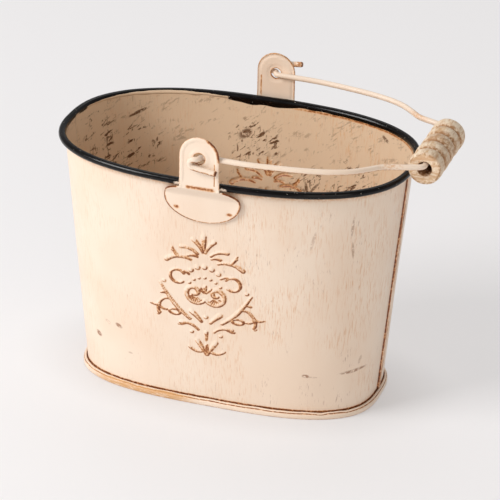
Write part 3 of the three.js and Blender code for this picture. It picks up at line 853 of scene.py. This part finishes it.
def foot_enamel():
    """The walls' cream enamel, rubbed to honey brown where "honey" is 1."""
    material = cream_enamel("foot_enamel", streaks=0.6, scuffs=0.8)
    tree = material.node_tree
    shader = tree.nodes["Principled BSDF"]
    cream = shader.inputs["Base Color"].links[0].from_socket
    streaky = between(tree, grain(tree, (5.0, 5.0, 0.7), 4, 0.65, 2.0), 0.28, 0.52)
    honey = product(tree, attribute(tree, "honey"), streaky)
    tree.links.new(painted(tree, cream, srgb(206, 150, 84), honey, 0.85), shader.inputs["Base Color"])
    return material


foot = foot_piece()
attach(foot, "bucket")
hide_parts("bottom_plate")

# ---- ears ------------------------------------------------------------------------------------
# A tab of thicker sheet with a raised border and a raised ring round the bail's hole. It is bent
# at a crease below the rim onto a half-moon foot, which two welds hold to the wall.
EAR_SHEET = 1.0
ear_low, ear_high = (np.array(corner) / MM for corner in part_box("front_ear"))
PIVOT_Z = frame["joints"][0]["pos_m"][2] / MM
HOLE_RADIUS = 3.5
TAB_HALF = 12.5
TAB_ARC_Z = ear_high[2] - TAB_HALF
CREASE_Z = RIM_Z - 2.5
LIES_Z = RIM_Z - 9
TIP_Z = RIM_Z - 11.5
SPLIT_Z = PIVOT_Z - TAB_HALF
FOOT_HALF = ear_high[0]
EAR_OUT = -ear_low[1]
WELDS = ((-17, 140.2), (16.5, 140.0))


def ramp(value, low, high):
    """A smooth step from 0 at low to 1 at high: 3 t^2 - 2 t^3."""
    t = np.clip((value - low) / (high - low), 0, 1)
    return t * t * (3 - 2 * t)


def shoulder(t):
    """Half width and height of the shoulder between the foot's tips and the tab: a parabola from
    t = 0 at the tip, where it is upright, to t = 1 at the crease."""
    half = FOOT_HALF * (1 - t ** 2) + TAB_HALF * t ** 2
    z = (1 - t) ** 2 * TIP_Z + 2 * t * (1 - t) * (CREASE_Z - 1) + t ** 2 * CREASE_Z
    return half, z


def tab_edge(x, z):
    """How far in from the tab's edge a point lies: a straight edge below, and a half circle on top."""
    return np.where(z > TAB_ARC_Z, TAB_HALF - np.hypot(x, z - TAB_ARC_Z), TAB_HALF - np.abs(x))


def ear_rows(columns):
    """x and z of the foot and the tab's lower part: rows between mirrored edges. The lower edge is
    an ellipse, the shoulder a parabola, and the tab's edge is straight."""
    turn = np.linspace(-math.pi / 2, 0, 26)
    shoulder_half, shoulder_z = shoulder(np.linspace(0, 1, 18)[1:])
    straight = np.linspace(CREASE_Z, SPLIT_Z, 22)[1:]
    half = np.concatenate([FOOT_HALF * np.cos(turn), shoulder_half, np.full_like(straight, TAB_HALF)])
    z = np.concatenate([TIP_Z + (TIP_Z - ear_low[2]) * np.sin(turn), shoulder_z, straight])
    return np.broadcast_arrays(half[:, None] * columns, z[:, None])


def ear_rings(columns):
    """x and z of the tab round its hole: rings drawn evenly from the hole out to the tab's edge."""
    upright_edge = np.arange(SPLIT_Z, TAB_ARC_Z, 0.45)[1:]
    arc = np.linspace(0, math.pi, 88)
    edge_x = np.concatenate([TAB_HALF * columns, TAB_HALF + 0 * upright_edge, TAB_HALF * np.cos(arc),
                             -TAB_HALF + 0 * upright_edge])
    edge_z = np.concatenate([SPLIT_Z + 0 * columns, upright_edge, TAB_ARC_Z + TAB_HALF * np.sin(arc),
                             upright_edge[::-1]])
    reach = np.hypot(edge_x, edge_z - PIVOT_Z)
    share = np.linspace(0, 1, 26)[:, None]
    x = edge_x * (HOLE_RADIUS / reach * (1 - share) + share)
    z = PIVOT_Z + (edge_z - PIVOT_Z) * (HOLE_RADIUS / reach * (1 - share) + share)
    return x, z


def ear_out(x, z):
    """How far the bent sheet's outer face stands from the bucket's middle: on the wall low down,
    upright above the crease, and straight between, with the raised border, ring and weld dimples."""
    front_angles = np.linspace(1.25 * math.pi, 1.75 * math.pi, 800)
    low_xy = oval_points(FOOT, front_angles, FACE_AT_FOOT)
    high_xy = oval_points(RIM, front_angles, FACE_AT_RIM)
    share = (np.minimum(z[:, 0], LIES_Z) - WALL_BOTTOM) / (RIM_Z - WALL_BOTTOM)
    lines = low_xy + (high_xy - low_xy) * share[:, None, None]
    on_wall = np.array([-np.interp(row_x, line[:, 0], line[:, 1]) for row_x, line in zip(x, lines)])
    on_wall = on_wall + SEAT_GAP + EAR_SHEET
    bent = np.clip((z - LIES_Z) / (CREASE_Z - LIES_Z), 0, 1)
    bent = 0.6 * bent + 0.4 * ramp(z, LIES_Z - 0.8, CREASE_Z + 0.8)
    return on_wall + (EAR_OUT - on_wall) * bent


def ear_relief(x, z):
    """Pressed shape of the sheet: the panel lies 0.2 lower than the border and the hole's ring."""
    edge = tab_edge(x, z)
    border = ramp(edge, 0.0, 0.9) * (1 - ramp(edge, 1.9, 3.1))
    ring = 1 - ramp(np.hypot(x, z - PIVOT_Z), 4.6, 7.0)
    on_tab = ramp(z, CREASE_Z + 3.0, CREASE_Z + 7.0)
    relief = on_tab * (0.36 * np.maximum(border, ring) - 0.2)
    crease = -0.2 * np.exp(-((z - CREASE_Z - 1.1) / 0.8) ** 2) * (np.abs(x) < 11)
    welds = sum(-0.28 * np.exp(-((x - wx) ** 2 + (z - wz) ** 2) / 1.6 ** 2) for wx, wz in WELDS)
    return relief + crease + welds


def ear_glaze_and_shade(x, z, side):
    """Brown glaze on an ear: in the crease, the weld dimples and round the foot's edge, rubbed rust
    along the tab's upper right edge, and painted shade beside the border on the tab's right half."""
    edge = tab_edge(x, z)
    in_crease = 0.62 * np.exp(-((z - CREASE_Z - 1.3) / 1.1) ** 2)
    in_crease = in_crease * ramp(x, -9.5, -7) * (1 - ramp(x, 8, 11.5))
    welds = sum(0.8 * np.exp(-((x - wx - 0.6) ** 2 / 3.0 + (z - wz + 0.5) ** 2 / 1.2)) for wx, wz in WELDS)
    rim_x = np.abs(x) / FOOT_HALF
    rim_z = np.clip((TIP_Z - z) / (TIP_Z - ear_low[2]), 0, 1)
    round_foot = np.exp(-((np.hypot(rim_x, rim_z) - 1.0) / 0.035) ** 2) * (z < TIP_Z)
    round_foot = round_foot * (0.55 + 0.35 * (x < -4) + 0.2 * (x > 17))
    shoulder_half, shoulder_z = shoulder(np.linspace(0, 1, 40))
    from_shoulder = np.interp(z, shoulder_z, shoulder_half) - np.abs(x)
    on_shoulder = np.exp(-(from_shoulder / 0.55) ** 2) * (z >= TIP_Z) * (z < CREASE_Z - 0.2) * 0.8
    rust = np.exp(-(edge / 1.3) ** 2) * ramp(x, 3, 6) * ramp(z, PIVOT_Z - 3, PIVOT_Z + 2) * 0.9
    # Painted shade: a dark line just inside the raised border, on the tab's right half only.
    panel = np.exp(-((edge - 3.0) / 0.35) ** 2) * (x > 0) * (z > CREASE_Z + 4) * (z < PIVOT_Z - 2) * 0.6
    hole = np.exp(-((np.hypot(x, z - PIVOT_Z) - HOLE_RADIUS) / 0.5) ** 2) * 0.55
    side_edge = np.exp(-(edge / 0.45) ** 2) * (z > CREASE_Z + 2) * 0.35
    return np.maximum.reduce([in_crease, welds, round_foot, on_shoulder, rust * (side > 0), panel,
                              hole, side_edge])


def ear_piece(name, side):
    """Both patches of the bent sheet joined along their shared edge, given its thickness inwards."""
    columns = np.linspace(-1, 1, 81)
    points, glaze, faces, start = [], [], [], 0
    for x, z in (ear_rows(columns), ear_rings(columns)):
        upright_part = z.min() > CREASE_Z
        # The foot's right tip stands off the wall a little.
        lift = 0.7 * np.clip((x - 15) / 9, 0, 1) ** 2 * (z < CREASE_Z)
        out = EAR_OUT + 0 * x if upright_part else ear_out(x, z) + lift
        out = out + ear_relief(x, z)
        points.append(np.stack([x * side, -out * side, z], -1).reshape(-1, 3))
        glaze.append(ear_glaze_and_shade(x, z, side).ravel())
        quads = grid_faces(*x.shape, False, upright_part)
        faces.append(start + (quads[:, ::-1] if upright_part else quads))
        start += x.size
    points, glaze, faces = np.concatenate(points), np.concatenate(glaze), np.concatenate(faces)
    ear = new_sheet(name, points, faces, ear_enamel, {"glaze": glaze})
    thick = ear.modifiers.new("sheet", "SOLIDIFY")
    thick.thickness = EAR_SHEET * MM
    thick.offset = -1
    soft = ear.modifiers.new("cut_edge", "BEVEL")
    soft.width = 0.22 * MM
    soft.segments = 2
    soft.limit_method = "ANGLE"
    soft.angle_limit = math.radians(50)
    return ear


ear_enamel = cream_enamel("ear_enamel", streaks=0.25, scuffs=0.5, wear_low=0.45)
for name, side, node in (("front_bail_ear", 1, "front_ear"), ("rear_bail_ear", -1, "rear_ear")):
    ear = ear_piece(name, side)
    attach(ear, "bucket")
    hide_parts(node)

# ---- bail ------------------------------------------------------------------------------------
# One length of wire: a hook through each ear, two legs swept in to the grip, and the straight
# stretch that the grip hangs on. It is brushed cream, with brown glaze and painted shade underneath.
WIRE_RADIUS = 1.75
HOOK_BEND = 2.6
FRONT_TAIL, REAR_TAIL, TAIL_SLOPE = 14.0, 19.0, -0.12
LEG_OUT = EAR_OUT - EAR_SHEET - SEAT_GAP - WIRE_RADIUS
grip_low, grip_high = (np.array(corner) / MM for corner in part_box("bail_grip"))
grip_middle = (grip_low + grip_high) / 2
GRIP_HALF = (grip_high[1] - grip_low[1]) / 2
DROOP = math.radians(1.0)
GRIP_REACH = 125.0
RUBBED_AT = 143.0
WIRE_STEP, WIRE_SIDES = 0.8, 20
# The leg from the ear to the grip: shares of the way to the grip along x, and of the way from the
# grip's end out to the ear along y.
LEG = [(0.11, 1), (0.226, 0.995), (0.403, 0.925), (0.524, 0.85), (0.629, 0.75), (0.71, 0.615),
       (0.77, 0.45), (0.82, 0.3), (0.88, 0.22), (0.935, 0.155), (0.972, 0.1), (0.993, 0.062)]


def half_bail_route(tail_length):
    """Half of the wire's middle line, level about its pivot, from its tail to the grip, as it lies
    at the front. The hook is an arc, and the leg passes listed points."""
    plate_out = EAR_OUT - EAR_SHEET / 2
    tail_out = plate_out + HOOK_BEND
    share = np.array([1, 0.5])
    tail = np.stack([share * tail_length - HOOK_BEND, tail_out + 0 * share,
                     share * tail_length * TAIL_SLOPE - 2 * HOOK_BEND], -1)
    turn = np.radians(np.linspace(270, 90, 7))
    hook = np.stack([HOOK_BEND * np.cos(turn) - HOOK_BEND, tail_out + 0 * turn,
                     HOOK_BEND * np.sin(turn) - HOOK_BEND], -1)
    turn = np.radians([60, 30, 0])
    through = np.stack([HOOK_BEND * np.cos(turn) - HOOK_BEND, plate_out + HOOK_BEND * np.sin(turn),
                        0 * turn], -1)
    turn = np.radians([210, 240, 270])
    bend = plate_out - LEG_OUT
    into_leg = np.stack([bend + bend * np.cos(turn), plate_out + bend * np.sin(turn), 0 * turn], -1)
    leg = np.array([(x * GRIP_REACH, GRIP_HALF + y * (LEG_OUT - GRIP_HALF), 0) for x, y in LEG])
    in_grip = np.array([(GRIP_REACH, k * GRIP_HALF, 0) for k in (1.03, 0.9, 0.5)])
    return np.concatenate([tail, hook, through, into_leg, leg, in_grip]) * [1, -1, 1]


def smooth_path(points, step):
    """The centripetal Catmull-Rom curve through the points, then points evenly spaced along it:
    cubic spans whose end slopes come from neighbours weighted by the root of their distance."""
    p = np.vstack([2 * points[0] - points[1], points, 2 * points[-1] - points[-2]])
    gap = np.sqrt(np.linalg.norm(np.diff(p, axis=0), axis=1))[:, None]
    p0, p1, p2, p3 = p[:-3], p[1:-2], p[2:-1], p[3:]
    d0, d1, d2 = gap[:-2], gap[1:-1], gap[2:]
    slope_from = ((p1 - p0) / d0 - (p2 - p0) / (d0 + d1) + (p2 - p1) / d1) * d1
    slope_to = ((p2 - p1) / d1 - (p3 - p1) / (d1 + d2) + (p3 - p2) / d2) * d1
    t = np.linspace(0, 1, 24, endpoint=False)[None, :, None]
    spans = ((2 * t ** 3 - 3 * t ** 2 + 1) * p1[:, None] + (t ** 3 - 2 * t ** 2 + t) * slope_from[:, None]
             + (3 * t ** 2 - 2 * t ** 3) * p2[:, None] + (t ** 3 - t ** 2) * slope_to[:, None])
    curve = np.vstack([spans.reshape(-1, 3), p2[-1:]])
    length = np.concatenate([[0], np.cumsum(np.linalg.norm(np.diff(curve, axis=0), axis=1))])
    even = np.linspace(0, length[-1], int(length[-1] / step) + 1)
    return np.stack([np.interp(even, length, curve[:, k]) for k in range(3)], -1), even


def tube_points(path, radius, sides):
    """Rings square to a path, each frame carried on from the last with the least turn."""
    tangent = np.gradient(path, axis=0)
    tangent = tangent / np.linalg.norm(tangent, axis=1)[:, None]
    frames = [np.cross(tangent[0], [0, 0, 1.0])]
    for ahead in tangent[1:]:
        carried = frames[-1] - ahead * (frames[-1] @ ahead)
        frames.append(carried / np.linalg.norm(carried))
    first = np.array(frames)
    second = np.cross(tangent, first)
    turn = np.linspace(0, 2 * math.pi, sides, endpoint=False)
    spokes = np.cos(turn)[None, :, None] * first[:, None] + np.sin(turn)[None, :, None] * second[:, None]
    return path[:, None] + radius[:, None, None] * spokes, spokes


def bail_piece():
    """A round tube along the route, drooped about its pivot, its cut ends eased and closed."""
    rear = half_bail_route(REAR_TAIL) * [1, -1, -1]
    path, along = smooth_path(np.concatenate([half_bail_route(FRONT_TAIL), rear[::-1]]), WIRE_STEP)
    from_end = np.minimum(along, along[-1] - along)
    radius = WIRE_RADIUS * np.minimum(1, 0.8 + 0.2 * from_end / 0.8)
    rings, spokes = tube_points(path, radius, WIRE_SIDES)
    ends = [np.repeat(path[row][None, None], WIRE_SIDES, 1) for row in (0, -1)]
    points = np.concatenate([ends[0], rings, ends[1]])
    # Glaze underneath, most on the front leg, with painted shade on the wire's underside. Glaze on
    # the cut ends and the tails, and where a hand rubs; the tails' undersides are painted shade too.
    at_front = (0.35 + 0.65 * (path[:, 1] < 0))[:, None]
    patchy = 0.85 + 0.4 * np.sin(along / 9)[:, None]
    under = np.clip(-1.3 * spokes[..., 2] - 0.35, 0, 1) * at_front * patchy
    cut = np.exp(-(from_end / 0.9) ** 2)[:, None] * 0.95
    rear_tail = 0.45 * (path[:, 1] > 0) * np.clip(1.6 - from_end / 4.5, 0, 1)
    cut = np.maximum(cut, rear_tail[:, None])
    rubbed = 0.24 * np.exp(-((from_end - RUBBED_AT) / 9) ** 2)[:, None] * (spokes[..., 2] > -0.2)
    tail = (from_end < FRONT_TAIL)[:, None] * np.clip(-spokes[..., 2] + 0.1, 0, 1) * 0.9
    glaze = np.maximum.reduce([under, cut + 0 * under, rubbed, tail])
    glaze = np.concatenate([glaze[:1], glaze, glaze[-1:]])
    swing = np.array([[math.cos(DROOP), 0, -math.sin(DROOP)], [0, 1, 0],
                      [math.sin(DROOP), 0, math.cos(DROOP)]])
    points = points @ swing + [0, 0, PIVOT_Z]
    return new_piece("bail_rod", points, grid_faces(len(points), WIRE_SIDES, False, True), wire_enamel,
                     {"glaze": glaze})


wire_enamel = cream_enamel("wire_enamel", streaks=0.5, scuffs=0.5, wear_low=0.15)
bail = bail_piece()
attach(bail, "bail")
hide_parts("bail_wire")

# ---- grip ------------------------------------------------------------------------------------
# A bored wooden handle turned to five beads on a lathe, limed white, with brown in the grooves
# and the open grain. It hangs loose on the wire by the top of its bore.
GRIP_RADIUS = 10.5
BORE_RADIUS = 4.45
GROOVE_DEPTH = 2.3
END_GROOVE_SHARE = 0.3
DOME_POWER = 2.3
COLLAR_LENGTH = 10.3
EASED = 0.9
EASE_DEPTH = 0.45
GRIP_ROWS, GRIP_SIDES = 141, 96


def limed_wood():
    """Pale lime over honey wood: grain drawn out along y, brown in "glaze" places, rings and pores
    on the "end_grain" faces."""
    material, tree = new_material("limed_wood")
    lime, honey, brown = srgb(240, 220, 194), srgb(212, 174, 130), srgb(112, 72, 42)
    colour = painted(tree, honey, lime, between(tree, grain(tree, (2.2, 9, 2.2), 5, 0.6), 0.3, 0.56))
    fibres = between(tree, grain(tree, (0.55, 7, 0.55), 4, 0.6, 3.0), 0.5, 0.7)
    colour = painted(tree, colour, srgb(196, 146, 98), fibres, 0.7)
    patches = between(tree, grain(tree, (7, 10, 7), 3, 0.55, 7.0, 0.4), 0.52, 0.7)
    colour = painted(tree, colour, srgb(186, 138, 94), patches, 0.6)
    pores = between(tree, grain(tree, (0.7, 0.9, 0.7), 3, 0.6, 5.0), 0.66, 0.73)
    colour = painted(tree, colour, brown, pores, 0.75)
    rings = between(tree, grain(tree, (14, 30, 1.1), 3, 0.55, 11.0, 0.5), 0.45, 0.6)
    rings = product(tree, rings, attribute(tree, "end_grain"))
    colour = painted(tree, colour, srgb(206, 164, 122), rings, 0.8)
    mottle = between(tree, grain(tree, (1.8, 2.2, 1.8), 4, 0.65, 2.0), 0.32, 0.62, 0.1, 1.0)
    glaze = product(tree, attribute(tree, "glaze"), mottle)
    colour = painted(tree, colour, srgb(172, 126, 84), between(tree, glaze, 0.04, 0.45))
    colour = painted(tree, colour, brown, between(tree, glaze, 0.45, 0.95))
    roughness = between(tree, grain(tree, (2, 5, 2), 3), 0.3, 0.7, 0.55, 0.75)
    finish_shader(tree, colour, roughness, grain(tree, (0.6, 4, 0.6), 4, 0.65, 3.0), 0.35)
    return material


def grip_piece():
    """A profile turned about the grip's axis: beads of radius R - g (1 - (1 - |2 s - 1|^2.3)^(1/2)),
    with hand-turned unevenness, flat ends with eased edges, and a straight bore."""
    middle_length = (2 * GRIP_HALF - 2 * COLLAR_LENGTH) / 3
    lengths = np.array([COLLAR_LENGTH, middle_length, middle_length, middle_length, COLLAR_LENGTH])
    starts = np.concatenate([[0], np.cumsum(lengths)])
    along = np.linspace(0, 2 * GRIP_HALF, GRIP_ROWS)
    bead = np.clip(np.searchsorted(starts, along, side="right") - 1, 0, len(lengths) - 1)
    s = np.clip((along - starts[bead]) / lengths[bead], 0, 1)
    dome = 1 - (1 - np.abs(2 * s - 1) ** DOME_POWER) ** 0.5
    end_ease = np.clip(1 - np.minimum(along, along[-1] - along) / EASED, 0, 1) ** 2
    at_end = (along < lengths[0] / 2) | (along > along[-1] - lengths[0] / 2)
    groove = GROOVE_DEPTH * np.where(at_end, END_GROOVE_SHARE, 1.0) * dome
    outer = GRIP_RADIUS - groove - EASE_DEPTH * end_ease
    face = np.linspace(outer[-1], BORE_RADIUS + EASE_DEPTH, 8)[1:]
    bore = np.linspace(2 * GRIP_HALF - 0.4, 0.4, 20)

    def profile(on_side, on_far_end, in_bore, on_near_end):
        """One column of values along the whole profile, from an array or a number for each part."""
        parts = zip((on_side, on_far_end, in_bore, on_near_end), (along, face, bore, face))
        return np.concatenate([np.broadcast_to(values, part.shape) for values, part in parts])[:, None]

    radius = profile(outer, face, BORE_RADIUS, face[::-1])
    level = profile(along, 2 * GRIP_HALF, bore, 0)
    side = profile(1, 0, 0, 0)
    end_grain = profile(0, 1, 0, 1)
    turn = np.linspace(0, 2 * math.pi, GRIP_SIDES, endpoint=False)[None, :]
    swell = 0.12 * np.sin(2 * turn + level / 6.0) + 0.06 * np.sin(5 * turn - level / 4.0) - 0.1
    sway = 0.35 * np.sin(turn + level / 9.0) * np.sin(math.pi * level / level.max())
    r = np.minimum(radius + side * swell, GRIP_RADIUS)
    points = np.stack([r * np.cos(turn), level - GRIP_HALF + side * sway, r * np.sin(turn)], -1)

    in_groove = profile(np.where(at_end, 0.4, 1.0) * dome ** 0.75, 0, 0.75, 0)
    face_edge = np.exp(-((face - outer[-1]) / 0.8) ** 2)
    far_half = along > GRIP_HALF
    edge_wear = 0.45 * profile(end_ease * (1 + 1.2 * far_half), face_edge, 0, face_edge[::-1])
    handled = 0.32 * side * np.exp(-((level - GRIP_HALF + 3) / 13) ** 2) * (0.7 + 0.3 * np.sin(turn + 0.8))
    glaze = np.maximum(np.maximum(in_groove, edge_wear), handled)
    return new_piece("turned_grip", points + grip_middle, grid_faces(*r.shape, True, True), limed_wood(),
                     {"glaze": glaze, "end_grain": np.broadcast_to(end_grain, r.shape)})


grip = grip_piece()
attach(grip, "grip")
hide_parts("bail_grip")
